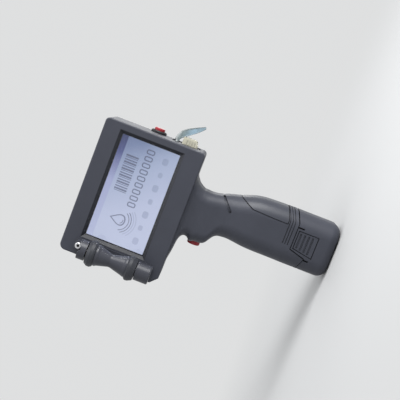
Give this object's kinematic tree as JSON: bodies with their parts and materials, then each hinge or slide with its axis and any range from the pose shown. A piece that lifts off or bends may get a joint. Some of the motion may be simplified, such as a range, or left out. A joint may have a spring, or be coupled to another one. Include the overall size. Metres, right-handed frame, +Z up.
{
  "type": "date code inkjet printer",
  "caption": "Handheld inkjet coder: box with a touch display and a waisted guide roller, on a pistol grip with a red trigger and a slide-in battery.",
  "frame": {"origin": "middle of the battery's flat base, on the plane between the two case halves", "axes": "+Z up along the grip, -X to the printing end with the guide roller and trigger, -Y to the display"},
  "size_m": [0.1456, 0.0788, 0.2288],
  "materials": {
    "case": "fine spark texture, matt",
    "palm_pad": "soft-touch, satin",
    "tyre": "matt rubber",
    "roller": "turned, satin",
    "glass": "polished",
    "panel": "lit display",
    "red": "satin",
    "collar": "matt",
    "steel": "brushed",
    "screw_steel": "bright",
    "brass": "turned",
    "board": "solder mask",
    "chip": "moulded",
    "connector": "moulded",
    "flex": "polyimide film",
    "cartridge": "moulded, satin",
    "cream": "moulded, satin",
    "ribbon": "clear film",
    "bay": "moulded",
    "gold": "gold plated",
    "cell_wrap": "shrink wrap"
  },
  "bodies": {
    "housing": {"display_cover": "case", "display_window": "glass", "display_panel": "panel", "display_frame": "steel", "cover_screws": "steel", "near_housing": "case", "far_housing": "case", "near_palm_pad": "palm_pad", "far_palm_pad": "palm_pad", "case_screws": "steel", "main_board": "board", "board_spacers": "brass", "board_screws": "steel", "board_chips": "chip", "board_connectors": "connector", "display_cable": "flex", "cartridge_bay": "bay", "contact_board": "board", "contact_pins": "gold", "nose_plate": "steel", "nose_screws": "steel", "power_collar": "collar", "power_spring": "steel", "power_switch": "chip", "trigger_collar": "collar", "trigger_spring": "steel", "trigger_switch": "chip", "battery_dock": "bay", "dock_blades": "gold", "guide_bracket": "roller", "encoder_housing": "roller", "axle_bushes": "brass", "encoder_sensor": "chip", "guide_screws": "screw_steel"},
    "trigger": {"trigger": "red"},
    "power_button": {"power_button": "red"},
    "battery": {"battery_shell": "case", "battery_stem": "bay", "battery_cells": "cell_wrap", "cell_links": "steel", "battery_board": "board", "battery_contacts": "gold", "near_release_spring": "steel", "far_release_spring": "steel"},
    "near_release": {"near_release_button": "case"},
    "far_release": {"far_release_button": "case"},
    "cartridge": {"ink_cartridge": "cartridge", "nozzle_plate": "steel", "cartridge_grip": "cream", "pull_ribbon": "ribbon"},
    "guide_roller": {"guide_axle": "steel", "waisted_roller": "roller", "upper_tyre": "tyre", "lower_tyre": "tyre", "encoder_disc": "steel"}
  },
  "joints": [
    {"name": "trigger_press", "type": "slide", "parent": "housing", "child": "trigger", "axis": [1, 0, 0], "range_m": [0, 0.0025], "stiffness_N_per_m": 600, "springref_m": -0.003, "deforming": ["trigger_spring"]},
    {"name": "power_press", "type": "slide", "parent": "housing", "child": "power_button", "axis": [-1, 0, 0], "range_m": [0, 0.0015], "stiffness_N_per_m": 700, "springref_m": -0.002, "deforming": ["power_spring"]},
    {"name": "battery_slide", "type": "slide", "parent": "housing", "child": "battery", "axis": [0, 0, -1], "range_m": [0, 0.06]},
    {"name": "near_release_press", "type": "slide", "parent": "battery", "child": "near_release", "axis": [0, 1, 0], "range_m": [0, 0.0018], "stiffness_N_per_m": 700, "springref_m": -0.002, "deforming": ["near_release_spring"]},
    {"name": "far_release_press", "type": "slide", "parent": "battery", "child": "far_release", "axis": [0, -1, 0], "range_m": [0, 0.0018], "stiffness_N_per_m": 700, "springref_m": -0.002, "deforming": ["far_release_spring"]},
    {"name": "cartridge_slide", "type": "slide", "parent": "housing", "child": "cartridge", "axis": [1, 0, 0], "range_m": [0, 0.122]},
    {"name": "guide_spin", "type": "hinge", "parent": "housing", "child": "guide_roller", "pos_m": [-0.0724, -0.041, 0.179], "axis": [0, 0, 1], "continuous": true}
  ]
}
